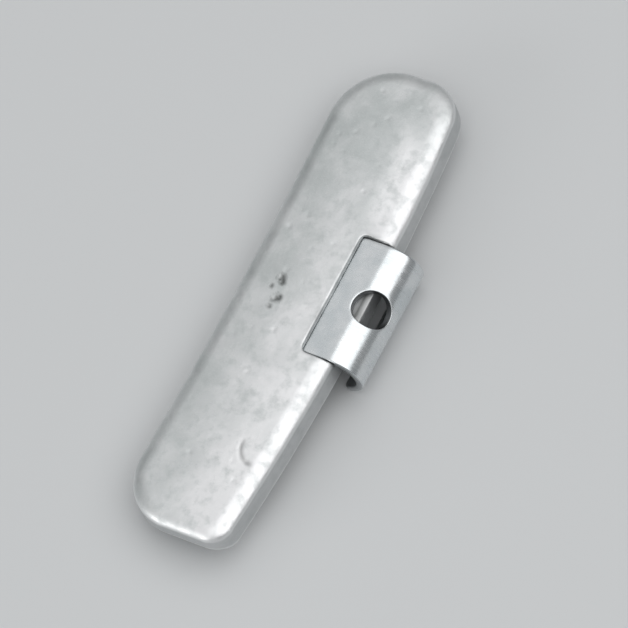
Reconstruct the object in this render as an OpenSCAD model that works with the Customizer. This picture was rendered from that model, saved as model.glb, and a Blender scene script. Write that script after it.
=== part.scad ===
// Clip-on wheel balance weight: a zinc casting with a spring steel clip.
// The casting lies front face up and rests on its far back edge and the hook of the clip.

/* [Casting] */
// Length of the casting along the rim
cast_len = 66; // [60:1:75]
// Height of the casting, measured outward from the wheel axis
cast_h = 16.5; // [15.5:0.5:20]
// Thickness of the casting from front face to back facet
cast_t = 6; // [5.6:0.1:7]
// Radius of the edge that follows the rim flange
rim_r = 320; // [240:10:400]
// Radius of the flatter, hollow inner edge
inner_edge_r = 700; // [400:50:1000]
// Width of the soft rounding along the front edges
edge_w = 2.2; // [1.6:0.1:2.8]
// Height of that rounding
edge_h = 1.2; // [0.8:0.1:1.6]

/* [Casting corners] */
// Corner radius, far end, away from the clip
far_inner_r = 8; // [5:0.2:9]
// Corner radius, far end, clip side
far_clip_r = 5.2; // [3.6:0.2:6]
// Corner radius, near end, away from the clip
near_inner_r = 7; // [3.6:0.2:9]
// Corner radius, near end, clip side
near_clip_r = 3; // [3:0.2:6]

/* [Back of the casting] */
// Depth of the rim seat below the front face
seat_depth = 4.4; // [4:0.1:4.8]
// Width of the rim seat, from the clip edge inward
seat_w = 4.4; // [3.5:0.1:5]
// Length of the rim seat
seat_len = 47; // [36:1:52]
// Width of the bevel on the inner edge
inner_bevel_w = 4; // [2:0.5:5]
// Height of the inner side wall left above its bevel
inner_wall = 3.3; // [2.8:0.1:4]
// Length of the bevel at each end
end_bevel = 5; // [3:0.5:7]

/* [Clip] */
// Width of the clip strip
clip_w = 16.6; // [12:0.2:20]
// Distance of the clip from the middle, toward the far end
clip_off = 2.2; // [0:0.2:5]
// Thickness of the clip strip
clip_t = 1; // [0.8:0.05:1.2]
// Inner radius of the hook bend
hook_in_r = 2.8; // [2.6:0.05:3.2]
// Start of the hook bend, inward of the clip edge
bend_start = 0.85; // [0.7:0.05:1.2]
// Angle swept by the hook bend
hook_sweep = 150; // [140:1:160]
// Straight length after the bend
tip_len = 1.2; // [1:0.1:2]
// Diameter of the hole in the crown
hole_d = 4.6; // [3:0.1:4.6]
// Direction of the hole, leaning outward from the front
hole_lean = 30; // [25:1:40]
// Depth of the pocket that bares the plate
pocket_depth = 0.4; // [0.3:0.05:0.6]
// Gap between the plate and each side of the pocket
pocket_gap = 0.2; // [0.1:0.05:0.5]
// Radius of the inner corners of the pocket
pocket_r = 0.8; // [0.4:0.1:1.5]
// Length of bared plate, from the clip edge inward
plate_len = 4.4; // [4:0.1:5.5]
// Length of the leg cast into the zinc
anchor_len = 6.6; // [5:0.2:7.4]
// Dive angle of the cast-in leg
anchor_dive = 18; // [12:1:22]

/* [Hidden] */
$fn = 96;
over = 2;
corner_steps = 6;
long_steps = 14;
edge_steps = 6;
hook_steps = 24;
inner_axis_y = -cast_h - inner_edge_r;
half_len = cast_len / 2;
clip_side_wall = seat_depth;
hook_r = hook_in_r + clip_t;
bend_y = -bend_start;
bend_z = -pocket_depth - hook_r;
pocket_w = clip_w + 2 * pocket_gap;
seat_angle = asin(seat_len / 2 / rim_r);
rim_angle = asin((half_len + over) / (rim_r - cast_h));
inner_angle = asin((half_len + over) / (inner_edge_r - inner_bevel_w));

// Tip of the hook, outer corner
tip_y = bend_y + hook_r * sin(hook_sweep) + tip_len * cos(hook_sweep);
tip_z = bend_z + hook_r * cos(hook_sweep) - tip_len * sin(hook_sweep);

// Far resting point: the end of the line between back facet and inner bevel
facet_r = inner_edge_r + inner_bevel_w;
facet_x = half_len - end_bevel;
facet_y = sqrt(facet_r * facet_r - facet_x * facet_x) + inner_axis_y;

// Resting attitude on that point and the hook tip
rest_tilt = atan2(-cast_t - tip_z, tip_y - facet_y);
rest_z = tip_y * sin(rest_tilt) + tip_z * cos(rest_tilt);

// Corner centres of the plan
function clip_corner_y(r) =
    sqrt(pow(rim_r - r, 2) - pow(half_len - r, 2)) - rim_r;
function inner_corner_y(r) =
    sqrt(pow(inner_edge_r + r, 2) - pow(half_len - r, 2)) + inner_axis_y;

// Extent across the plan, used to centre the part
far_low_y = min(inner_corner_y(far_inner_r) - far_inner_r, inner_corner_y(near_inner_r) - near_inner_r);
rest_back_y = (far_low_y + edge_w) * cos(rest_tilt) + edge_h * sin(rest_tilt)
    - norm([edge_w * cos(rest_tilt), edge_h * sin(rest_tilt)]);
rest_front_y = bend_y * cos(rest_tilt) - bend_z * sin(rest_tilt) + hook_r;
rest_mid_y = (rest_back_y + rest_front_y) / 2;

// Everything below is drawn with the front face level at z = 0 and the middle
// of the clip edge at the origin, then laid down to rest by this module
module laid_down() {
    translate([0, -rest_mid_y, -rest_z])
        rotate([rest_tilt, 0, 0])
            children();
}

// Sweep of a flat shape round an upright axis at y, over half_angle to each side
module round_axis(y, half_angle) {
    translate([0, y, 0])
        rotate([0, 0, 90 - half_angle])
            rotate_extrude(angle = 2 * half_angle, $fn = 360)
                children();
}

// Flat shape in the y-z plane pushed out along x
module along_x(width) {
    translate([-width / 2, 0, 0])
        rotate([90, 0, 90])
            linear_extrude(height = width)
                children();
}

// Flat shape in the x-z plane pushed out along y
module along_y(from_y, to_y) {
    translate([0, to_y, 0])
        rotate([90, 0, 0])
            linear_extrude(height = to_y - from_y)
                children();
}

// Points of an arc round a centre
function arc(centre, r, from, to, first, last, steps) =
    [for (k = [first : last]) centre + r * [cos(from + (to - from) * k / steps), sin(from + (to - from) * k / steps)]];

// Direction from an axis through a corner centre
function dir(axis, corner) = atan2(corner[1] - axis[1], corner[0] - axis[0]);

// Outline of the plan, drawn in by inset, anticlockwise from the near end
function outline(inset) =
    let (
        wheel = [0, -rim_r],
        inner = [0, inner_axis_y],
        nc = [half_len - near_clip_r, clip_corner_y(near_clip_r)],
        fc = [far_clip_r - half_len, clip_corner_y(far_clip_r)],
        fi = [far_inner_r - half_len, inner_corner_y(far_inner_r)],
        ni = [half_len - near_inner_r, inner_corner_y(near_inner_r)],
        nc_dir = dir(wheel, nc),
        fc_dir = dir(wheel, fc),
        fi_dir = dir(inner, fi),
        ni_dir = dir(inner, ni)
    )
    concat(
        arc(nc, near_clip_r - inset, 0, nc_dir, 0, corner_steps, corner_steps),
        arc(wheel, rim_r - inset, nc_dir, fc_dir, 1, long_steps - 1, long_steps),
        arc(fc, far_clip_r - inset, fc_dir, 180, 0, corner_steps, corner_steps),
        arc(fi, far_inner_r - inset, 180, 180 + fi_dir, 0, corner_steps, corner_steps),
        arc(inner, inner_edge_r + inset, fi_dir, ni_dir, 1, long_steps - 1, long_steps),
        arc(ni, near_inner_r - inset, 180 + ni_dir, 360, 0, corner_steps, corner_steps)
    );

function at_height(points, z) = [for (p = points) [p[0], p[1], z]];

// Casting before the back is shaped and the clip is let in: the plan carried
// straight up from the back, then drawn in over the soft front edge
module blank() {
    count = len(outline(0));
    rings = edge_steps + 2;
    points = concat(
        at_height(outline(0), -cast_t),
        [
            for (k = [0 : edge_steps])
                for (p = at_height(
                    outline(edge_w * (1 - cos(90 * k / edge_steps))),
                    edge_h * (sin(90 * k / edge_steps) - 1)
                )) p
        ]
    );
    sides = [
        for (ring = [0 : rings - 2])
            for (k = [0 : count - 1])
                [
                    ring * count + k,
                    (ring + 1) * count + k,
                    (ring + 1) * count + (k + 1) % count,
                    ring * count + (k + 1) % count
                ]
    ];
    back = [[for (k = [0 : count - 1]) k]];
    front = [[for (k = [count - 1 : -1 : 0]) (rings - 1) * count + k]];
    polyhedron(points = points, faces = concat(sides, back, front), convexity = 4);
}

// Bevels and rim seat taken off the back
module back_cuts() {
    round_axis(inner_axis_y, inner_angle)
        polygon([
            [inner_edge_r - inner_bevel_w, -inner_wall + cast_t - inner_wall],
            [inner_edge_r + inner_bevel_w, -cast_t],
            [inner_edge_r + inner_bevel_w, -cast_t - over],
            [inner_edge_r - inner_bevel_w, -cast_t - over]
        ]);
    round_axis(-rim_r, rim_angle)
        polygon([
            [rim_r + seat_w, -clip_side_wall + cast_t - clip_side_wall],
            [rim_r - seat_w, -cast_t],
            [rim_r - seat_w, -cast_t - over],
            [rim_r + seat_w, -cast_t - over]
        ]);
    round_axis(-rim_r, seat_angle)
        translate([rim_r - seat_w, -cast_t - over])
            square([seat_w + over, cast_t + over - seat_depth]);
    for (side = [0, 1])
        mirror([side, 0, 0])
            along_y(-cast_h - 8, over)
                polygon([
                    [half_len + end_bevel, -inner_wall + cast_t - inner_wall],
                    [half_len - end_bevel, -cast_t],
                    [half_len - end_bevel, -cast_t - over],
                    [half_len + end_bevel, -cast_t - over]
                ]);
}

// Shallow pocket in the front that bares the plate of the clip
module pocket() {
    inset = pocket_w / 2 - pocket_r;
    translate([-clip_off, 0, -pocket_depth])
        linear_extrude(height = pocket_depth + over) {
            translate([-pocket_w / 2, pocket_r - plate_len])
                square([pocket_w, plate_len + over]);
            translate([-inset, -plate_len])
                square([2 * inset, plate_len + over]);
            for (side = [-1, 1])
                translate([side * inset, pocket_r - plate_len])
                    circle(r = pocket_r);
        }
    translate([-clip_off - clip_w / 2, bend_y, -pocket_depth - clip_t])
        cube([clip_w, over - bend_y, clip_t + over]);
}

// Section of the strip, from the end of the cast-in leg to the tip of the hook
module clip_section() {
    top = -pocket_depth;
    centre = [bend_y, bend_z];
    leg_end = [-plate_len - anchor_len * cos(anchor_dive), top - anchor_len * sin(anchor_dive)];
    along_tip = [cos(hook_sweep), -sin(hook_sweep)];
    across_tip = [sin(hook_sweep), cos(hook_sweep)];
    polygon(concat(
        [leg_end, [-plate_len, top]],
        arc(centre, hook_r, 90, 90 - hook_sweep, 0, hook_steps, hook_steps),
        [centre + hook_r * across_tip + tip_len * along_tip],
        [centre + hook_in_r * across_tip + tip_len * along_tip],
        arc(centre, hook_in_r, 90 - hook_sweep, 90, 0, hook_steps, hook_steps),
        [[clip_t * tan(anchor_dive / 2) - plate_len, top - clip_t]],
        [leg_end + clip_t * [sin(anchor_dive), -cos(anchor_dive)]]
    ));
}

module clip_blank() {
    translate([-clip_off, 0, 0])
        along_x(clip_w) clip_section();
}

// Zinc casting, with the room for the clip taken out
module body() {
    color([0.68, 0.7, 0.71])
        laid_down()
            difference() {
                blank();
                back_cuts();
                pocket();
                clip_blank();
            }
}

// Spring steel clip with the hole in its crown
module clip() {
    color([0.82, 0.83, 0.84])
        laid_down()
            difference() {
                clip_blank();
                translate([-clip_off, bend_y, bend_z])
                    rotate([-hole_lean, 0, 0])
                        cylinder(d = hole_d, h = hook_r + over, $fn = 64);
            }
}

body();
clip();
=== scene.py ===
import math
import random
from itertools import product

import bmesh
import bpy
import numpy as np
from mathutils import Matrix, Vector, noise
from mathutils.geometry import delaunay_2d_cdt


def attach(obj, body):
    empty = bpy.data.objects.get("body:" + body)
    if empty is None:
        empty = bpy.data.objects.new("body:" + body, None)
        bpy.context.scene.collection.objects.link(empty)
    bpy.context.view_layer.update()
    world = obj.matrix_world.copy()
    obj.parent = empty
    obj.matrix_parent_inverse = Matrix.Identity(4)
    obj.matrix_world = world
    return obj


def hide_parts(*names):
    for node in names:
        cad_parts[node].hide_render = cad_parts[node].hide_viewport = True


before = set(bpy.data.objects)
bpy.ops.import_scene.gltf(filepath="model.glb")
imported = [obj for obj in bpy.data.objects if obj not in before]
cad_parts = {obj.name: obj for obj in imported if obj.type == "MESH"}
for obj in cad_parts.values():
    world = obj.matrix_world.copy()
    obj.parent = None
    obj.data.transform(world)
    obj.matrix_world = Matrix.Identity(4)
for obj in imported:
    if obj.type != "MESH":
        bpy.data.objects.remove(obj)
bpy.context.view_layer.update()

# A millimetre in metres
MM = 0.001

# Sizes

# In mm, as the part is drawn: front face level at z = 0, middle of the clip edge at the origin,
# y toward the clip side and x away from the far end
CAST_LEN, CAST_H, CAST_T = 66.0, 16.5, 6.0
RIM_R, INNER_EDGE_R = 320.0, 700.0
EDGE_W, EDGE_H = 2.2, 1.2
FAR_INNER_R, FAR_CLIP_R, NEAR_INNER_R, NEAR_CLIP_R = 8.0, 5.2, 7.0, 3.0
SEAT_DEPTH, SEAT_W, SEAT_LEN = 4.4, 4.4, 47.0
INNER_BEVEL_W, INNER_WALL, END_BEVEL = 4.0, 3.3, 5.0
CLIP_W, CLIP_T, CLIP_OFF = 16.6, 1.0, 2.2
HOOK_IN_R, BEND_START, HOOK_SWEEP, TIP_LEN = 2.8, 0.85, 150.0, 1.2
HOLE_D, HOLE_LEAN = 4.6, 30.0
POCKET_DEPTH, POCKET_GAP, POCKET_R = 0.4, 0.08, 0.8
PLATE_LEN, ANCHOR_LEN, ANCHOR_DIVE = 4.4, 6.6, 18.0

POCKET_W = CLIP_W + 2 * POCKET_GAP
INNER_AXIS_Y = -CAST_H - INNER_EDGE_R
HALF_LEN = CAST_LEN / 2
HOOK_R = HOOK_IN_R + CLIP_T
BEND_Y, BEND_Z = -BEND_START, -POCKET_DEPTH - HOOK_R


def sin_d(deg):
    return math.sin(math.radians(deg))


def cos_d(deg):
    return math.cos(math.radians(deg))


def smoothstep(lo, hi, v):
    t = np.clip((v - lo) / (hi - lo), 0, 1)
    return t * t * (3 - 2 * t)


def clip_corner_y(r):
    """Place in y of the middle of a corner of radius r at the clip edge."""
    return math.sqrt((RIM_R - r) ** 2 - (HALF_LEN - r) ** 2) - RIM_R


def inner_corner_y(r):
    """Place in y of the middle of a corner of radius r at the inner edge."""
    return math.sqrt((INNER_EDGE_R + r) ** 2 - (HALF_LEN - r) ** 2) + INNER_AXIS_Y


def rest_pose():
    """Tilt in radians and the shifts in y and z that lay the drawn part down to rest."""
    tip_y = BEND_Y + HOOK_R * sin_d(HOOK_SWEEP) + TIP_LEN * cos_d(HOOK_SWEEP)
    tip_z = BEND_Z + HOOK_R * cos_d(HOOK_SWEEP) - TIP_LEN * sin_d(HOOK_SWEEP)
    facet_x = HALF_LEN - END_BEVEL
    facet_y = math.sqrt((INNER_EDGE_R + INNER_BEVEL_W) ** 2 - facet_x ** 2) + INNER_AXIS_Y
    tilt = math.atan2(-CAST_T - tip_z, tip_y - facet_y)
    c, s = math.cos(tilt), math.sin(tilt)
    low_y = min(inner_corner_y(r) - r for r in (FAR_INNER_R, NEAR_INNER_R))
    back_y = (low_y + EDGE_W) * c + EDGE_H * s - math.hypot(EDGE_W * c, EDGE_H * s)
    front_y = BEND_Y * c - BEND_Z * s + HOOK_R
    return tilt, -(back_y + front_y) / 2, -(tip_y * s + tip_z * c)


TILT, SHIFT_Y, SHIFT_Z = rest_pose()


def laid_down(points):
    """Points as drawn, in mm, at their place in the frame, in metres."""
    x, y, z = points.T
    c, s = math.cos(TILT), math.sin(TILT)
    return np.stack([x, y * c - z * s + SHIFT_Y, y * s + z * c + SHIFT_Z], axis=1) * MM


# Meshes

# Shortest edge that is kept, in metres, and least length to divide by
ZERO_EDGE, ZERO_LENGTH = 1e-6, 1e-12


def new_mesh_object(name, points, faces):
    """A smooth-shaded object of points in metres."""
    mesh = bpy.data.meshes.new(name)
    mesh.from_pydata(points.tolist(), [], faces)
    mesh.validate()
    mesh.update()
    mesh.polygons.foreach_set("use_smooth", [True] * len(mesh.polygons))
    obj = bpy.data.objects.new(name, mesh)
    bpy.context.scene.collection.objects.link(obj)
    return obj


def float_attribute(obj, name, values):
    """Keep one number for each point, for the material to read."""
    attr = obj.data.attributes.new(name, "FLOAT", "POINT")
    attr.data.foreach_set("value", np.ascontiguousarray(values, dtype=np.float32))


def clean_up(obj):
    """Drop loose points and edges without length, and turn every face outward."""
    bm = bmesh.new()
    bm.from_mesh(obj.data)
    loose = [v for v in bm.verts if not v.link_faces]
    bmesh.ops.delete(bm, geom=loose, context="VERTS")
    bmesh.ops.dissolve_degenerate(bm, dist=ZERO_EDGE, edges=bm.edges)
    bmesh.ops.recalc_face_normals(bm, faces=bm.faces)
    bm.to_mesh(obj.data)
    bm.free()


def face_normals(points, quads):
    """Outward normal of each quad."""
    a, b, c, d = (points[quads[:, k]] for k in range(4))
    n = np.cross(c - a, d - b)
    return n / np.maximum(np.linalg.norm(n, axis=1), ZERO_LENGTH)[:, None]


def field_gradient(field, points, reach):
    """Slope of the field at each point, measured over reach to both sides."""
    gradient = np.empty_like(points)
    for axis, shift in enumerate(np.eye(3) * reach):
        gradient[:, axis] = (field(points + shift) - field(points - shift)) / (2 * reach)
    return gradient


def net_points(values, cells, low, step):
    """A point for each cell: the mean of the places where the field crosses the cell's edges."""
    place, hits = np.zeros((len(cells), 3)), np.zeros(len(cells))
    for axis, along in enumerate(np.eye(3, dtype=int)):
        for u, v in product((0, 1), repeat=2):
            start = np.insert([u, v], axis, 0)
            a = values[tuple((cells + start).T)]
            b = values[tuple((cells + start + along).T)]
            cross = (a < 0) != (b < 0)
            share = np.where(cross, a / np.where(cross, a - b, 1), 0)
            place += np.where(cross[:, None], start + share[:, None] * along, 0)
            hits += cross
    return (place / hits[:, None] + cells) * step + np.array(low)


def net_quads(inside, point_of):
    """A quad round each grid edge that the field crosses, turned outward."""
    quads = []
    for axis in range(3):
        u, v = (axis + 1) % 3, (axis + 2) % 3
        edges = np.argwhere(np.diff(inside, axis=axis))
        edges = edges[(edges[:, u] > 0) & (edges[:, v] > 0)]
        ring = []
        for du, dv in ((-1, -1), (0, -1), (0, 0), (-1, 0)):
            cell = edges.copy()
            cell[:, u] += du
            cell[:, v] += dv
            ring.append(point_of[tuple(cell.T)])
        ring = np.stack(ring, axis=1)
        outward = inside[tuple(edges.T)]
        quads.append(np.where(outward[:, None], ring, ring[:, ::-1]))
    return np.concatenate(quads)


def surface_net(field, low, high, step):
    """Points and quads of the zero level of a field, one point in each cell that it crosses."""
    axes = [np.arange(lo, hi + step, step) for lo, hi in zip(low, high)]
    values = field(np.stack(np.meshgrid(*axes, indexing="ij"), axis=-1))
    inside = values < 0
    nx, ny, nz = (len(axis) - 1 for axis in axes)
    corners = np.zeros((nx, ny, nz), int)
    for i, j, k in product((0, 1), repeat=3):
        corners += inside[i:i + nx, j:j + ny, k:k + nz]
    crossed = (corners > 0) & (corners < 8)
    cells = np.argwhere(crossed)
    point_of = np.full(corners.shape, -1)
    point_of[crossed] = np.arange(len(cells))
    return net_points(values, cells, low, step), net_quads(inside, point_of)


# Casting

# It is one field, negative inside and close to a distance, and its zero level is meshed as one
# skin. These forms are too shallow for the solids: the crown of the front, the shoulder rubbed
# down on the far half of the clip edge, and the bead of zinc where the strip dives in.
CROWN, CROWN_SINK = 0.34, 0.05
SHOULDER, SHOULDER_ACROSS = 0.32, (-6.0, 0.6)
SHOULDER_BEGINS, SHOULDER_ENDS = (-28.0, -20.0), (-15.0, -10.0)
BEAD, BEAD_SLOPE = 0.3, 1.7

# Widths over which the creases are blended
BACK_BLEND, SEAT_BLEND, POCKET_BLEND, STRIP_BLEND = 0.5, 0.3, 0.22, 0.12

# Least share of the soft edge's sides that is divided by
EDGE_LEAST = 1e-6

# How far the rooms for the leg and for the bend run into the room for the plate
LEG_OVERLAP, BEND_OVERLAP = 0.3, 0.01

# Grid round the casting, and the passes that bring its points on to the skin
GRID_STEP, QUICK_GRID_STEP = 0.2, 0.4
GRID_LOW = (-HALF_LEN - 0.5, -CAST_H - 2.1, -CAST_T - 0.5)
GRID_HIGH = (HALF_LEN + 0.5, 0.6, 0.8)
SKIN_PASSES, SKIN_REACH, SKIN_MOVE, LEAST_SLOPE = 4, 0.02, 0.1, 0.2
FOLD_PASSES, FOLD_FACING = 3, 0.1
NORMAL_REACH = 0.03


def smax(a, b, k):
    """The larger of two fields, blended over a width of k."""
    h = np.maximum(k - np.abs(a - b), 0) / k
    return np.maximum(a, b) + h * h * k * 0.25


def past_rim(x, y):
    """Distance outward of the clip edge."""
    return np.hypot(x, y + RIM_R) - RIM_R


def past_inner(x, y):
    """Distance into the casting from the inner edge."""
    return np.hypot(x, y - INNER_AXIS_Y) - INNER_EDGE_R


def plan_distance(x, y):
    """Distance to the plan outline, negative inside."""
    d = np.maximum(np.maximum(past_rim(x, y), -past_inner(x, y)), np.abs(x) - HALF_LEN)
    for side, inner_r, clip_r in ((1, NEAR_INNER_R, NEAR_CLIP_R), (-1, FAR_INNER_R, FAR_CLIP_R)):
        for r, cy, out, axis_y in (
            (clip_r, clip_corner_y(clip_r), 1, -RIM_R),
            (inner_r, inner_corner_y(inner_r), -1, INNER_AXIS_Y),
        ):
            cx = side * (HALF_LEN - r)
            dx, dy = x - cx, y - cy
            along = (dx * (cy - axis_y) - dy * cx) * side
            corner = (dy * out > 0) & (along > 0)
            d = np.where(corner, np.hypot(dx, dy) - r, d)
    return d


def past_pocket(x, y):
    """Distance outward of the pocket's outline, which is open on the clip side."""
    qx, qy = np.abs(x + CLIP_OFF) - POCKET_W / 2 + POCKET_R, -PLATE_LEN + POCKET_R - y
    return np.hypot(np.maximum(qx, 0), np.maximum(qy, 0)) + np.minimum(np.maximum(qx, qy), 0) - POCKET_R


def strip_room(x, y, z):
    """Room that the strip takes in the casting, negative inside."""
    past_plate, above_plate = y + PLATE_LEN, z + POCKET_DEPTH
    dive_c, dive_s = cos_d(ANCHOR_DIVE), sin_d(ANCHOR_DIVE)
    along_leg = -(past_plate * dive_c + above_plate * dive_s)
    above_leg = -past_plate * dive_s + above_plate * dive_c
    leg = np.maximum(above_leg, -above_leg - CLIP_T)
    leg = np.maximum(leg, np.maximum(along_leg - ANCHOR_LEN, -along_leg - LEG_OVERLAP))
    plate = np.maximum(above_plate, -above_plate - CLIP_T)
    plate = np.maximum(plate, np.maximum(-past_plate, y - BEND_Y))
    radius = np.hypot(y - BEND_Y, z - BEND_Z)
    bend = np.maximum(radius - HOOK_R, HOOK_IN_R - radius)
    bend = np.maximum(bend, np.maximum(BEND_Y - y - BEND_OVERLAP, BEND_Z - z))
    clear = np.maximum(BEND_Y - y, -POCKET_DEPTH - CLIP_T - z)
    section = np.minimum(np.minimum(leg, plate), np.minimum(bend, clear))
    return np.maximum(section, np.abs(x + CLIP_OFF) - CLIP_W / 2)


def front_field(x, y, z):
    """The plan's walls and the front face: soft edge, slight crown and rubbed shoulder."""
    rim, inner, plan = past_rim(x, y), past_inner(x, y), plan_distance(x, y)
    across = np.clip((inner + rim) / (inner - rim), -1, 1)
    lengthwise = np.clip(np.abs(x) / HALF_LEN, 0, 1)
    crown = CROWN * (1 - across ** 2) * (1 - lengthwise ** 4)
    shoulder = SHOULDER * smoothstep(*SHOULDER_ACROSS, rim)
    shoulder = shoulder * smoothstep(*SHOULDER_BEGINS, x) * (1 - smoothstep(*SHOULDER_ENDS, x))
    above = z - crown + CROWN_SINK + shoulder
    a, b = (EDGE_W + plan) / EDGE_W, (above + EDGE_H) / EDGE_H
    ap, bp = np.maximum(a, EDGE_LEAST), np.maximum(b, EDGE_LEAST)
    q = np.hypot(ap, bp)
    slope = np.hypot(ap / EDGE_W, bp / EDGE_H) / q
    return np.where((a > 0) & (b > 0), (q - 1) / slope, np.maximum(plan, above))


def past_bevel(out, z, wall, width):
    """Distance below a bevel of the back, which leaves a wall of this height at the edge."""
    drop = CAST_T - wall
    return (out * drop - (z + wall) * width) / math.hypot(drop, width)


def back_field(x, y, z):
    """The back facet with a bevel along each edge and at the ends."""
    inner_bevel = past_bevel(-past_inner(x, y), z, INNER_WALL, INNER_BEVEL_W)
    clip_bevel = past_bevel(past_rim(x, y), z, SEAT_DEPTH, SEAT_W)
    end_bevel = past_bevel(np.abs(x) - HALF_LEN, z, INNER_WALL, END_BEVEL)
    facet = smax(-CAST_T - z, inner_bevel, BACK_BLEND)
    return smax(facet, smax(clip_bevel, end_bevel, BACK_BLEND), BACK_BLEND)


def rim_seat(x, y, z):
    """Room of the recess along the clip edge of the back, negative inside."""
    along_rim = np.arctan2(x, y + RIM_R) * RIM_R
    seat = np.maximum(-SEAT_W - past_rim(x, y), z + SEAT_DEPTH)
    return np.maximum(seat, np.abs(along_rim) - SEAT_LEN / 2)


def pocket_room(x, y, z):
    """Room of the pocket above its floor and its bead, negative inside."""
    bead = (BEAD - BEAD_SLOPE * (y + PLATE_LEN) - POCKET_DEPTH - z) / math.hypot(BEAD_SLOPE, 1)
    return np.maximum(np.maximum(past_pocket(x, y), -POCKET_DEPTH - z), bead)


def casting_field(points):
    """The casting, with the rim seat, the pocket and the strip's room cut out."""
    x, y, z = points[..., 0], points[..., 1], points[..., 2]
    f = smax(front_field(x, y, z), back_field(x, y, z), BACK_BLEND)
    f = smax(f, -rim_seat(x, y, z), SEAT_BLEND)
    f = smax(f, -pocket_room(x, y, z), POCKET_BLEND)
    return smax(f, -strip_room(x, y, z), STRIP_BLEND)


def casting_skin():
    """Points, quads and outward normals of the casting before it gets its marks."""
    step = GRID_STEP
    points, quads = surface_net(casting_field, GRID_LOW, GRID_HIGH, step)
    blunt, facing = points.copy(), face_normals(points, quads)
    for _ in range(SKIN_PASSES):
        off = casting_field(points)
        gradient = field_gradient(casting_field, points, SKIN_REACH)
        steep = np.maximum((gradient ** 2).sum(1), LEAST_SLOPE)
        points -= np.clip(off[:, None] * gradient / steep[:, None], -SKIN_MOVE, SKIN_MOVE)
    # Corners that those steps folded over go back
    for _ in range(FOLD_PASSES):
        folded = (face_normals(points, quads) * facing).sum(1) < FOLD_FACING
        back = np.unique(quads[folded])
        points[back] = blunt[back]
    gradient = field_gradient(casting_field, points, NORMAL_REACH)
    return points, quads, gradient / np.linalg.norm(gradient, axis=1)[:, None]


# Marks of the casting

# In mm, as drawn. Wear, dirt with painted shade, and dullness with painted shade go from 0 to 1. Wear
# and the painted shade in corners come in over these ranges of the skin's bend, which is measured over
# this reach.
WEAR_BEND, CORNER_SHADE_BEND, BEND_REACH = (0.1, 1.3), (0.2, 1.6), 0.35

# Painted shadow in the seam round the plate: its spread, the heights over which it comes in, how
# much of the painted corner shade it clears, and its own darkness with the noise in it
SEAM_SPREAD, SEAM_HEIGHT, SEAM_CLEARS = 0.3, (-1.0, -0.4), 0.75
SEAM_SHADE, SEAM_UNEVEN, SEAM_NOISE, SEAM_SEED = 0.2, 0.5, 0.45, 9

# Painted shade on the zinc that the bend of the strip covers
COVER_LIFT, COVER_FADE, COVER_REACH, COVER_SHADE = 0.1, (0.0, 0.5), 1.2, 0.8

# By z of the skin's normal: where dullness and painted side shade fade, and the least on the front
DULL_AND_SHADE_LEAN, FRONT_LEAN = (0.12, 0.62), 0.3

# Slow waves and finer grain of the skin, each as noise scale, seed and height
WAVES = ((0.11, 1, 0.045), (0.3, 2, 0.022))
GRAIN = ((1.3, 3, 0.0028), (2.6, 4, 0.0022))
SKIN_SINK = 0.07

# The group of pits that the photo shows, as x, y, radius and depth, and the ranges from which
# the small ones are drawn
PIT_GROUP = (
    (-1.7, -11.2, 0.42, 0.2), (-1.2, -10.8, 0.3, 0.14), (0.9, -10.4, 0.4, 0.2),
    (1.3, -10.9, 0.26, 0.12), (2.2, -10.9, 0.24, 0.09), (-0.3, -11.9, 0.2, 0.08),
)
SMALL_PITS, PIT_SEED = 46, 7
PIT_RANGES = ((-31, 31), (-15.5, -0.8), (0.2, 0.42), (0.02, 0.06))

# Steepness and ragged outline of a pit, how far it keeps from the clip, and the smudge round
# one that is deeper than SMUDGE_DEPTH
PIT_STEEPNESS, PIT_UNEVEN, PIT_NOISE, PIT_NOISE_SEED = 1.6, 0.35, 1.9, 6
CLEAR_BESIDE, CLEAR_BEHIND = 0.6, 0.5
SMUDGE_DEPTH, SMUDGE_SPREAD, SMUDGE_GRIME = 0.075, 1.7, 0.9
SMUDGE_BASE, SMUDGE_NOISE, SMUDGE_SEED = 0.75, 2.8, 8

# Arc of the ejector pin: middle, radius, width of its groove, the side where it shows, its depth
# and how much its colour is darkened
ARC_X, ARC_Y, ARC_R, ARC_W = 19.9, -3.1, 2.2, 0.24
ARC_TURN, ARC_FADE = 0.85, (0.45, 0.85)
ARC_DEPTH, ARC_DARKENING = 0.09, 0.5

# How far each seed shifts the noise along x, y and z
SEED_SHIFT = (17.3, 5.1, 9.7)


def noise_at(points, scale, seed):
    """Noise from -1 to 1 at each point, from a place that the seed shifts."""
    shift = Vector([seed * part for part in SEED_SHIFT])
    return np.array([noise.noise(Vector(p) * scale + shift) for p in points])


def skin_bend(points):
    """How sharply the skin bends: over 0 on edges, under 0 in corners."""
    total = -6 * casting_field(points)
    for shift in np.eye(3) * BEND_REACH:
        total += casting_field(points + shift) + casting_field(points - shift)
    return total / BEND_REACH ** 2


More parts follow.
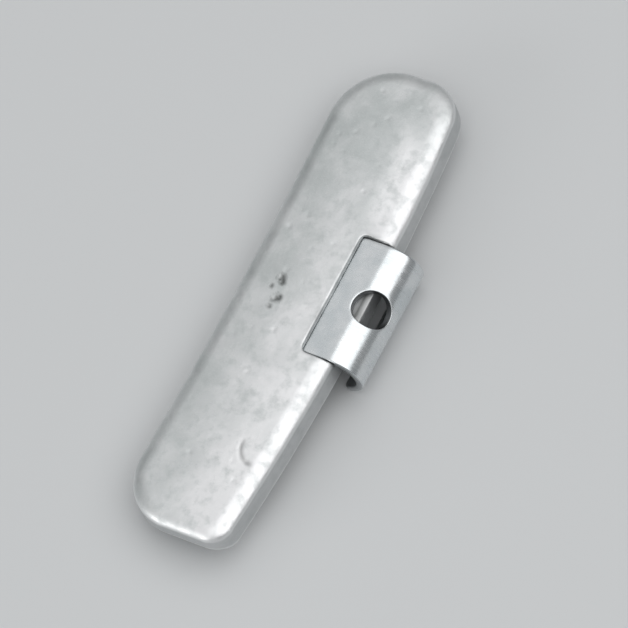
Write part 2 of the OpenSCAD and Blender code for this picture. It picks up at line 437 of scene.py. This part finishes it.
def wear_dirt_and_shade(points):
    """Bright wear on edges; painted shade in corners, in the seam round the plate and under the strip.
    """
    bend = skin_bend(points)
    wear, dirt_and_shade = smoothstep(*WEAR_BEND, bend), smoothstep(*CORNER_SHADE_BEND, -bend)
    x, y, z = points.T
    # Painted shadow in the seam round the plate, which also clears wear and some corner shade there
    seam_shadow = np.exp(-((past_pocket(x, y) - POCKET_GAP) / SEAM_SPREAD) ** 2) * smoothstep(*SEAM_HEIGHT, z)
    wear *= 1 - seam_shadow
    dirt_and_shade *= 1 - SEAM_CLEARS * seam_shadow
    seam_shadow *= SEAM_SHADE + SEAM_UNEVEN * noise_at(points, SEAM_NOISE, SEAM_SEED)
    # Painted shade on the zinc under the bend of the strip
    covered = 1 - smoothstep(*COVER_FADE, strip_room(x, y, z - COVER_LIFT))
    covered *= smoothstep(BEND_Y - COVER_REACH, BEND_Y, y)
    dirt_and_shade = np.maximum(dirt_and_shade, np.clip(np.maximum(seam_shadow, COVER_SHADE * covered), 0, 1))
    return wear, dirt_and_shade


def die_skin(points):
    """Height of the uneven skin off the smooth one, all of it inward."""
    waves = sum(height * noise_at(points, scale, seed) for scale, seed, height in WAVES)
    grain = sum(height * noise_at(points, scale, seed) for scale, seed, height in GRAIN)
    return waves + grain - SKIN_SINK


def all_pits():
    """The group of pits and the small ones, each as x, y, radius and depth."""
    rng = random.Random(PIT_SEED)
    small = [tuple(rng.uniform(lo, hi) for lo, hi in PIT_RANGES) for _ in range(SMALL_PITS)]
    return list(PIT_GROUP) + small


def sink_pits(points, front, lift, dirt_and_shade):
    """Sink the pits into lift, where the front is bare, and smudge the deep ones in grime."""
    x, y, _ = points.T
    bare = front & ((np.abs(x + CLIP_OFF) > CLIP_W / 2 + CLEAR_BESIDE) | (y < -PLATE_LEN - CLEAR_BEHIND))
    for pit_x, pit_y, r, depth in all_pits():
        dx, dy = x - pit_x, y - pit_y
        near = np.nonzero(bare & (dx * dx + dy * dy < 4 * r * r))[0]
        if len(near) == 0:
            continue
        ragged = noise_at(points[near], PIT_NOISE, PIT_NOISE_SEED) * PIT_UNEVEN + 1
        d = np.hypot(dx[near], dy[near]) / (r * ragged)
        lift[near] -= depth * np.exp(-d ** 2 * PIT_STEEPNESS)
        if depth > SMUDGE_DEPTH:
            smudge = np.exp(-(d / SMUDGE_SPREAD) ** 2)
            smudge = smudge * (SMUDGE_BASE + noise_at(points[near], SMUDGE_NOISE, SMUDGE_SEED))
            dirt_and_shade[near] = np.maximum(dirt_and_shade[near], np.clip(smudge * SMUDGE_GRIME, 0, 1))


def ejector_groove(points, front):
    """The arc that the ejector pin left, from 0 to 1 at the bottom of its groove."""
    dx, dy = points[:, 0] - ARC_X, points[:, 1] - ARC_Y
    shows = smoothstep(*ARC_FADE, np.cos(np.arctan2(dy, dx) + ARC_TURN))
    return np.exp(-((np.hypot(dx, dy) - ARC_R) / ARC_W) ** 2) * shows * front


def build_casting():
    """The casting with its marks sunk in, and its wear, dirt, dullness and painted shade kept for the
    material.
    """
    points, quads, normals = casting_skin()
    wear, dirt_and_shade = wear_dirt_and_shade(points)
    # Sides and back: rougher, and darker as painted shade
    dull_and_shade = 1 - smoothstep(*DULL_AND_SHADE_LEAN, normals[:, 2])
    lift = die_skin(points)
    front = normals[:, 2] > FRONT_LEAN
    sink_pits(points, front, lift, dirt_and_shade)
    groove = ejector_groove(points, front)
    lift -= ARC_DEPTH * groove
    # The groove is darkened in colour as well as sunk
    dirt_and_shade = np.maximum(dirt_and_shade, groove * ARC_DARKENING)

    obj = new_mesh_object("casting", laid_down(points + normals * lift[:, None]), quads.tolist())
    for name, values in (("wear", wear), ("dirt_and_shade", dirt_and_shade), ("dull_and_shade", dull_and_shade)):
        float_attribute(obj, name, values)
    clean_up(obj)
    return obj


# Clip

# The strip is laid flat, filled with triangles, rounded at its sheared edges and wrapped on to
# its bent path. On the flat strip, x is across, s along, and n off its middle.
STRIP_SLACK = 0.004  # kept free between each face and the zinc
HALF_T = CLIP_T / 2 - STRIP_SLACK
MID_R = HOOK_IN_R + CLIP_T / 2
LEG_BEND_R = 1.6
LEG_CORNER_R, TIP_CORNER_R = 0.5, 0.7
EDGE_ROUND, HOLE_ROUND = 0.2, 0.12
HOLE_STRETCH = 1.06

# Differences that count as none, in a length along the strip and between two points of it
SAME_LENGTH, SAME_POINT = 1e-9, 1e-6

# Steps of the outlines: round a corner, along a side, along an end and round the hole
CORNER_STEPS, SIDE_STEPS, END_STEPS, HOLE_STEPS = 8, 110, 40, 96

# Points between the outlines: their spacing and how far they keep from the outlines
FILL_X, FILL_S = 0.42, 0.16
FILL_X_MARGINS, FILL_S_MARGINS = (0.55, 0.5), (0.12, 0.05)
FILL_HOLE_CLEAR = 1.06

# Rings of a rounded edge from the outer face to the inner: angle of the rounding and side
ROUND_RINGS = ((60, 1), (30, 1), (0, 1), (0, -1), (30, -1), (60, -1))

# How far the darker sheared metal shows at the sides and in the hole, where it also stands for
# painted shade on the hole's wall, how fast it fades with the angle of the rounding, and the depth
# over which the inner face begins
SIDE_CUT, HOLE_CUT_AND_SHADE, CUT_FADE, INNER_FACE = 0.4, 1.0, 1.5, (0.1, 0.4)


def strip_path():
    """Start and heading in radians of the strip's middle, and its runs as length and turn."""
    dive, sweep = math.radians(ANCHOR_DIVE), math.radians(HOOK_SWEEP)
    cut = math.tan(dive / 2)
    corner = (CLIP_T / 2 * cut - PLATE_LEN, -POCKET_DEPTH - CLIP_T / 2)
    leg = ANCHOR_LEN + CLIP_T / 2 * cut
    start = (corner[0] - leg * math.cos(dive), corner[1] - leg * math.sin(dive))
    tangent = LEG_BEND_R * cut
    runs = [
        (leg - tangent, 0.0),
        (LEG_BEND_R * dive, -dive),
        (BEND_Y - corner[0] - tangent, 0.0),
        (MID_R * sweep, -sweep),
        (TIP_LEN, 0.0),
    ]
    return start, dive, runs


PATH_START, PATH_HEADING, PATH_RUNS = strip_path()
PATH_LEN = sum(length for length, _ in PATH_RUNS)
BEND_S = sum(length for length, _ in PATH_RUNS[:3])
HOLE_S = BEND_S + MID_R * math.radians(HOLE_LEAN)


def along_run(start, heading, length, turn, u):
    """Place and heading at u along one run, which is straight or an arc."""
    if turn:
        r = length / turn
        way = heading + u / r
        y = start[0] + r * (np.sin(way) - math.sin(heading))
        z = start[1] - r * (np.cos(way) - math.cos(heading))
        return y, z, way
    return start[0] + u * math.cos(heading), start[1] + u * math.sin(heading), heading


def on_path(s, n):
    """Place in y and z of the points of the flat strip at s and n."""
    y, z = np.zeros_like(s), np.zeros_like(s)
    start, heading, at = PATH_START, PATH_HEADING, 0.0
    for length, turn in PATH_RUNS:
        reached = (s >= at - SAME_LENGTH) | (at == 0)
        run_y, run_z, way = along_run(start, heading, length, turn, s - at)
        y = np.where(reached, run_y - n * np.sin(way), y)
        z = np.where(reached, run_z + n * np.cos(way), z)
        *start, heading = along_run(start, heading, length, turn, length)
        at += length
    return y, z


def strip_outline(inset):
    """Rounded rectangle of the flat strip in x and s, with the same count at any inset."""
    half = CLIP_W / 2
    arcs = []
    for x, s, first, r in (
        (half, 0.0, -90, LEG_CORNER_R),
        (half, PATH_LEN, 0, TIP_CORNER_R),
        (-half, PATH_LEN, 90, TIP_CORNER_R),
        (-half, 0.0, 180, LEG_CORNER_R),
    ):
        mid_x = x - math.copysign(r, x)
        mid_s = s + r if s == 0 else s - r
        angles = [first + 90 * k / CORNER_STEPS for k in range(CORNER_STEPS + 1)]
        arcs.append([(mid_x + (r - inset) * cos_d(a), mid_s + (r - inset) * sin_d(a)) for a in angles])
    outline = []
    for k, arc in enumerate(arcs):
        (x0, s0), (x1, s1) = arc[-1], arcs[(k + 1) % len(arcs)][0]
        steps = END_STEPS if k % 2 else SIDE_STEPS
        outline += arc
        outline += [(x0 + (x1 - x0) * m / steps, s0 + (s1 - s0) * m / steps) for m in range(1, steps)]
    return outline


def hole_outline(inset):
    """The hole in x and s, longer along the strip, as the bend foreshortens it."""
    rx, rs = HOLE_D / 2 + inset, HOLE_D / 2 * HOLE_STRETCH + inset
    angles = [2 * math.pi * k / HOLE_STEPS for k in range(HOLE_STEPS)]
    return [(rx * math.cos(a), HOLE_S + rs * math.sin(a)) for a in angles]


def hole_share(x, s):
    """1 on the hole's outline at the strip's faces, less inside it."""
    rx, rs = HOLE_D / 2 + HOLE_ROUND, HOLE_D / 2 * HOLE_STRETCH + HOLE_ROUND
    return math.hypot(x / rx, (s - HOLE_S) / rs)


def flat_fill(outer, hole):
    """Points and triangles of one face of the flat strip, and which point each input became."""
    flat = [Vector(p) for p in outer + hole]
    edges = []
    for first, count in ((0, len(outer)), (len(outer), len(hole))):
        edges += [(first + i, first + (i + 1) % count) for i in range(count)]
    half, inset = CLIP_W / 2, EDGE_ROUND
    for s in np.arange(inset + FILL_S_MARGINS[0], PATH_LEN - inset - FILL_S_MARGINS[1], FILL_S):
        for x in np.arange(-half + FILL_X_MARGINS[0], half - FILL_X_MARGINS[1], FILL_X):
            if hole_share(x, s) > FILL_HOLE_CLEAR:
                flat.append(Vector((x, s)))
    points, _, triangles, sources, _, _ = delaunay_2d_cdt(flat, edges, [], 0, SAME_POINT)
    became = {source: i for i, found in enumerate(sources) for source in found}
    fill = []
    for triangle in triangles:
        x, s = (sum(points[i][k] for i in triangle) / 3 for k in (0, 1))
        if hole_share(x, s) > 1:
            fill.append(tuple(triangle))
    return points, fill, became


def build_clip():
    """The bent strip, with its edges and its hole rounded."""
    outer, hole = strip_outline(EDGE_ROUND), hole_outline(HOLE_ROUND)
    face, fill, became = flat_fill(outer, hole)
    count = len(face)
    points = [(x, s, n) for n in (HALF_T, -HALF_T) for x, s in face]
    faces = fill + [tuple(i + count for i in reversed(triangle)) for triangle in fill]
    cut = [0.0] * len(points)
    for outline, first, total, r, full in (
        (strip_outline, 0, len(outer), EDGE_ROUND, SIDE_CUT),
        (hole_outline, len(outer), len(hole), HOLE_ROUND, HOLE_CUT_AND_SHADE),
    ):
        rings = [[became[first + i] for i in range(total)]]
        for angle, side in ROUND_RINGS:
            n = side * (HALF_T - r + r * sin_d(angle))
            rings.append(list(range(len(points), len(points) + total)))
            points += [(x, s, n) for x, s in outline(r * (1 - cos_d(angle)))]
            cut += [full * cos_d(angle * CUT_FADE)] * total
        rings.append([became[first + i] + count for i in range(total)])
        for a, b in zip(rings, rings[1:]):
            for i in range(total):
                j = (i + 1) % total
                faces.append((a[i], a[j], b[j], b[i]))

    x, s, n = np.array(points).T
    y, z = on_path(s, n)
    obj = new_mesh_object("clip_strip", laid_down(np.stack([x - CLIP_OFF, y, z], axis=1)), faces)
    # Duller metal on the inner face and on what was cut: the ends, the sides and the hole, whose
    # wall is darker still as painted shade
    float_attribute(obj, "inner", smoothstep(*INNER_FACE, -n))
    float_attribute(obj, "cut", cut)
    clean_up(obj)
    return obj


# Materials

# Each layer has a colour and a strength.
DIE_GREY, DIE_BRIGHT = (0.60, 0.63, 0.625), (0.88, 0.88, 0.885)
BLOTCH, BLOTCH_LAYER = (0.56, 0.59, 0.585), 0.6
SPECK, SPECK_LAYER = (0.86, 0.87, 0.875), 0.30
# Painted shade on the sides and the back, which are also rougher
SIDE_SHADE, SIDE_SHADE_LAYER = (0.50, 0.515, 0.52), 0.75
WORN, WORN_LAYER = (0.88, 0.885, 0.89), 0.6
# Dirt, and painted shade in corners, in the seam round the plate and under the strip
DIRT_AND_SHADE, DIRT_AND_SHADE_LAYER = (0.12, 0.125, 0.12), 0.85
ZINC_METALLIC, WORN_SMOOTHS, DULL_ROUGHENS = 0.92, -0.08, 0.10

STEEL, STEEL_BRIGHT = (0.65, 0.685, 0.70), (0.76, 0.78, 0.79)
BRUSHED, BRUSHED_LAYER = (0.57, 0.60, 0.615), 0.2
STEEL_INNER, INNER_LAYER = (0.36, 0.38, 0.385), 0.75
# Darker sheared metal, with painted shade on the hole's wall
STEEL_CUT_AND_SHADE, CUT_AND_SHADE_LAYER = (0.13, 0.135, 0.14), 0.9
INNER_ROUGHENS = 0.2

# Noises, each as scale per mm, detail and roughness
ZINC_CLOUD, ZINC_MOTTLE, ZINC_FINE = (0.16, 4.0, 0.6), (0.62, 4.0, 0.55), (5.0, 4.0, 0.6)
ZINC_GRAIN, ZINC_BROAD, ZINC_STREAKS = (4.5, 5.0, 0.65), (0.8, 3.0, 0.5), (1.0, 2.0, 0.5)
STEEL_CLOUD, STEEL_LINES, STEEL_BROAD = (0.35, 3.0, 0.55), (1.0, 2.0, 0.5), (1.4, 3.0, 0.5)
CLOUD_DISTORTION = 0.4
STREAK_STRETCH, STREAK_TURN, LINE_STRETCH = (0.25, 9.0, 9.0), (0, 0, 0.5), (4.5, 0.3, 0.3)

# Ranges of a place in mm or of a noise, with what they go from and to where it isn't 0 to 1:
# brightness of the zinc, with painted light toward the near end and the clip side, then what shows
# of each layer, then roughness
LIT_ALONG, LIT_ACROSS = (-24.0, 14.0, 0.15, 0.75), (-9.5, 1.5)
RUBBED_ENDS, RUBBED_ACROSS = (-15.0, -8.0, 1.0, 0.0), (-0.5, 4.5, 0.0, 0.8)
CLOUD_BRIGHTENS = (0.35, 0.68, 0.0, 0.5)
BLOTCH_SHOWS, SPECK_SHOWS, STREAK_SHOWS = (0.44, 0.74), (0.52, 0.75), (0.66, 0.74)
STEEL_CLOUD_SHOWS, BRUSHED_SHOWS = (0.35, 0.7), (0.5, 0.75)
ZINC_ROUGH, STEEL_ROUGH = (0.3, 0.7, 0.40, 0.56), (0.3, 0.7, 0.21, 0.29)

# Bumps, each as height in mm and strength
GRAIN_BUMP, BROAD_BUMP, STREAK_BUMP = (0.03, 0.5), (0.06, 0.3), (0.02, 0.4)
LINE_BUMP, STEEL_BROAD_BUMP = (0.02, 0.15), (0.04, 0.2)

FLOOR_GREY, FLOOR_ROUGH = (0.58, 0.59, 0.595), 0.6


class Nodes:
    """Short hand for the node tree of one material."""

    def __init__(self, name):
        self.mat = bpy.data.materials.new(name)
        self.mat.use_nodes = True
        self.tree = self.mat.node_tree
        self.tree.nodes.clear()
        out = self.add("ShaderNodeOutputMaterial")
        self.shader = self.add("ShaderNodeBsdfPrincipled")
        self.link(self.shader.outputs[0], out.inputs[0])
        coord = self.add("ShaderNodeTexCoord")
        scale = self.add("ShaderNodeMapping")
        scale.inputs["Scale"].default_value = (1 / MM, 1 / MM, 1 / MM)
        self.link(coord.outputs["Object"], scale.inputs[0])
        self.mm = scale.outputs[0]

    def add(self, kind, **props):
        node = self.tree.nodes.new(kind)
        for key, value in props.items():
            setattr(node, key, value)
        return node

    def link(self, a, b):
        self.tree.links.new(a, b)

    def put(self, socket, value):
        """Link a socket, or set a number or a colour."""
        if isinstance(value, bpy.types.NodeSocket):
            self.link(value, socket)
        elif isinstance(value, tuple):
            socket.default_value = (*value, 1.0)
        else:
            socket.default_value = value

    def noise(self, scale, detail, rough, vector=None, distortion=0.0):
        node = self.add("ShaderNodeTexNoise")
        self.link(vector or self.mm, node.inputs["Vector"])
        node.inputs["Scale"].default_value = scale
        node.inputs["Detail"].default_value = detail
        node.inputs["Roughness"].default_value = rough
        node.inputs["Distortion"].default_value = distortion
        return node.outputs[0]

    def stretched(self, stretch, turn=(0, 0, 0)):
        """The place in mm, stretched for noise that runs in streaks."""
        node = self.add("ShaderNodeMapping")
        node.inputs["Scale"].default_value = stretch
        node.inputs["Rotation"].default_value = turn
        self.link(self.mm, node.inputs[0])
        return node.outputs[0]

    def span(self, value, lo, hi, to_lo=0.0, to_hi=1.0):
        """Smooth step from to_lo to to_hi while value goes from lo to hi."""
        node = self.add("ShaderNodeMapRange", interpolation_type="SMOOTHSTEP")
        self.put(node.inputs["Value"], value)
        for key, v in (("From Min", lo), ("From Max", hi), ("To Min", to_lo), ("To Max", to_hi)):
            node.inputs[key].default_value = v
        return node.outputs[0]

    def math(self, op, a, b):
        node = self.add("ShaderNodeMath", operation=op)
        self.put(node.inputs[0], a)
        self.put(node.inputs[1], b)
        return node.outputs[0]

    def mix(self, factor, a, b):
        node = self.add("ShaderNodeMix", data_type="RGBA")
        self.put(node.inputs[0], factor)
        self.put(node.inputs[6], a)
        self.put(node.inputs[7], b)
        return node.outputs[2]

    def layer(self, below, mask, strength, colour):
        """Colour laid over what is below, where the mask is, at this strength."""
        return self.mix(self.math("MULTIPLY", mask, strength), below, colour)

    def attribute(self, name):
        return self.add("ShaderNodeAttribute", attribute_name=name).outputs["Fac"]

    def bump(self, height, distance, strength, below=None):
        """Normal of a bump whose height is in mm, on top of the one below."""
        node = self.add("ShaderNodeBump")
        node.inputs["Distance"].default_value = distance * MM
        node.inputs["Strength"].default_value = strength
        self.link(height, node.inputs["Height"])
        if below is not None:
            self.link(below, node.inputs["Normal"])
        return node.outputs[0]


def zinc_brightness(n, cloud):
    """Painted light toward the near end and the clip side, brighter metal on the rubbed shoulder and in
    clouds.
    """
    place = n.add("ShaderNodeSeparateXYZ")
    n.link(n.mm, place.inputs[0])
    x, y = place.outputs["X"], place.outputs["Y"]
    # Painted light: brighter toward the near end and the clip side
    painted_light = n.math("MULTIPLY", n.span(x, *LIT_ALONG), n.span(y, *LIT_ACROSS))
    rubbed = n.math("MULTIPLY", n.span(x, *SHOULDER_BEGINS), n.span(x, *RUBBED_ENDS))
    rubbed = n.math("MULTIPLY", rubbed, n.span(y, *RUBBED_ACROSS))
    bright = n.math("ADD", painted_light, rubbed)
    return n.math("ADD", bright, n.span(cloud, *CLOUD_BRIGHTENS))


def zinc_material():
    n = Nodes("zinc_cast")
    cloud = n.noise(*ZINC_CLOUD, distortion=CLOUD_DISTORTION)
    mottle, fine = n.noise(*ZINC_MOTTLE), n.noise(*ZINC_FINE)
    wear, dull_and_shade, dirt_and_shade = (n.attribute(name) for name in ("wear", "dull_and_shade", "dirt_and_shade"))

    colour = n.mix(zinc_brightness(n, cloud), DIE_GREY, DIE_BRIGHT)
    colour = n.layer(colour, n.span(mottle, *BLOTCH_SHOWS), BLOTCH_LAYER, BLOTCH)
    colour = n.layer(colour, n.span(fine, *SPECK_SHOWS), SPECK_LAYER, SPECK)
    # Painted shade on the sides and the back
    colour = n.layer(colour, dull_and_shade, SIDE_SHADE_LAYER, SIDE_SHADE)
    colour = n.layer(colour, wear, WORN_LAYER, WORN)
    # Dirt, and painted shade in corners, in the seam and under the strip
    colour = n.layer(colour, dirt_and_shade, DIRT_AND_SHADE_LAYER, DIRT_AND_SHADE)
    n.link(colour, n.shader.inputs["Base Color"])

    rough = n.span(mottle, *ZINC_ROUGH)
    for mask, change in ((wear, WORN_SMOOTHS), (dull_and_shade, DULL_ROUGHENS)):
        rough = n.math("ADD", rough, n.math("MULTIPLY", mask, change))
    n.link(rough, n.shader.inputs["Roughness"])
    n.shader.inputs["Metallic"].default_value = ZINC_METALLIC

    normal = n.bump(n.noise(*ZINC_GRAIN), *GRAIN_BUMP)
    normal = n.bump(n.noise(*ZINC_BROAD), *BROAD_BUMP, normal)
    streaks = n.noise(*ZINC_STREAKS, n.stretched(STREAK_STRETCH, STREAK_TURN))
    normal = n.bump(n.span(streaks, *STREAK_SHOWS), *STREAK_BUMP, normal)
    n.link(normal, n.shader.inputs["Normal"])
    return n.mat


def steel_material():
    n = Nodes("clip_steel")
    cloud = n.noise(*STEEL_CLOUD)
    lines = n.noise(*STEEL_LINES, n.stretched(LINE_STRETCH))
    inner, cut = n.attribute("inner"), n.attribute("cut")

    colour = n.mix(n.span(cloud, *STEEL_CLOUD_SHOWS), STEEL, STEEL_BRIGHT)
    colour = n.layer(colour, n.span(lines, *BRUSHED_SHOWS), BRUSHED_LAYER, BRUSHED)
    colour = n.layer(colour, inner, INNER_LAYER, STEEL_INNER)
    # Darker sheared metal, with painted shade on the hole's wall
    colour = n.layer(colour, cut, CUT_AND_SHADE_LAYER, STEEL_CUT_AND_SHADE)
    n.link(colour, n.shader.inputs["Base Color"])

    rough = n.math("ADD", n.span(lines, *STEEL_ROUGH), n.math("MULTIPLY", inner, INNER_ROUGHENS))
    n.link(rough, n.shader.inputs["Roughness"])
    n.shader.inputs["Metallic"].default_value = 1.0

    normal = n.bump(lines, *LINE_BUMP)
    normal = n.bump(n.noise(*STEEL_BROAD), *STEEL_BROAD_BUMP, normal)
    n.link(normal, n.shader.inputs["Normal"])
    return n.mat


def floor_material():
    n = Nodes("floor_pale")
    n.put(n.shader.inputs["Base Color"], FLOOR_GREY)
    n.put(n.shader.inputs["Roughness"], FLOOR_ROUGH)
    return n.mat


# Stage, light and camera

# In metres and watts. The world has a colour below and one straight above, and levels between
# them, each with its place from 0 to 1 and tinted.
FLOOR_SIZE = 3.0
WORLD_BELOW, WORLD_ABOVE = (0.30, 0.31, 0.315), (0.55, 0.56, 0.565)
WORLD_LEVELS = ((0.5, 0.34), (0.64, 0.62), (0.78, 0.85))
WORLD_TINT, WORLD_POWER = (1, 1.01, 1.02), 0.9

# Lamps, which point at the part: name, place, sides and power
LAMPS = (
    ("key", (-0.06, 0.19, 0.56), (0.8, 0.9), 2.2),
    ("rim", (0.55, -0.30, 0.19), (0.45, 0.3), 0.95),
)

# Way from the part to the camera, point that it looks at, and turn of the picture in degrees
CAMERA_WAY, CAMERA_TARGET, CAMERA_TURN = (0.32, 0.278, 0.907), (0.0003, 0.0006, 0.0045), -61.5
CAMERA_DISTANCE, CAMERA_LENS, CAMERA_CLIP = 0.9, 426, 0.01


def area_light(name, place, sides, power):
    """Rectangular lamp that points at the origin."""
    data = bpy.data.lights.new(name, "AREA")
    data.energy = power
    data.shape = "RECTANGLE"
    data.size, data.size_y = sides
    obj = bpy.data.objects.new(name, data)
    obj.location = place
    obj.rotation_euler = (-Vector(place)).to_track_quat("-Z", "Y").to_euler()
    bpy.context.scene.collection.objects.link(obj)


def build_world():
    """Grey room, palest in a band high up."""
    world = bpy.data.worlds.new("studio")
    world.use_nodes = True
    tree = world.node_tree
    tree.nodes.clear()
    out, back, coord, split, ramp = (
        tree.nodes.new("ShaderNode" + kind)
        for kind in ("OutputWorld", "Background", "TexCoord", "SeparateXYZ", "ValToRGB")
    )
    tree.links.new(coord.outputs["Generated"], split.inputs[0])
    tree.links.new(split.outputs["Z"], ramp.inputs[0])
    tree.links.new(ramp.outputs[0], back.inputs[0])
    tree.links.new(back.outputs[0], out.inputs[0])
    back.inputs[1].default_value = WORLD_POWER
    stops = ramp.color_ramp.elements
    stops[0].color = (*WORLD_BELOW, 1)
    stops[1].color = (*WORLD_ABOVE, 1)
    for height, level in WORLD_LEVELS:
        stops.new(height).color = (*(level * tint for tint in WORLD_TINT), 1)
    bpy.context.scene.world = world


def build_stage():
    bpy.ops.mesh.primitive_plane_add(size=FLOOR_SIZE, location=(0, 0, 0))
    floor = bpy.context.object
    floor.name = "floor"
    floor.data.materials.append(floor_material())
    build_world()
    bpy.context.scene.view_settings.view_transform = "Standard"
    for lamp in LAMPS:
        area_light(*lamp)


def build_camera():
    """Camera with the part's long axis turned in the picture as in the photo."""
    toward = Vector(CAMERA_WAY).normalized()
    long_axis = Vector((-1, 0, 0))
    flat = (long_axis - toward * long_axis.dot(toward)).normalized()
    right = Matrix.Rotation(math.radians(CAMERA_TURN), 3, toward) @ flat
    up = toward.cross(right)
    place = Vector(CAMERA_TARGET) + toward * CAMERA_DISTANCE
    data = bpy.data.cameras.new("camera")
    data.lens = CAMERA_LENS
    data.clip_start = CAMERA_CLIP
    camera = bpy.data.objects.new("camera", data)
    rows = [(right[k], up[k], toward[k], place[k]) for k in range(3)]
    camera.matrix_world = Matrix((*rows, (0, 0, 0, 1)))
    bpy.context.scene.collection.objects.link(camera)
    bpy.context.scene.camera = camera


def dress(piece, node, material):
    """Give a piece its material, hang it on the root body and hide the node that it stands for."""
    piece.data.materials.append(material)
    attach(piece, "root")
    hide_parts(node)


build_camera()
build_stage()
dress(build_casting(), "body", zinc_material())
dress(build_clip(), "clip", steel_material())
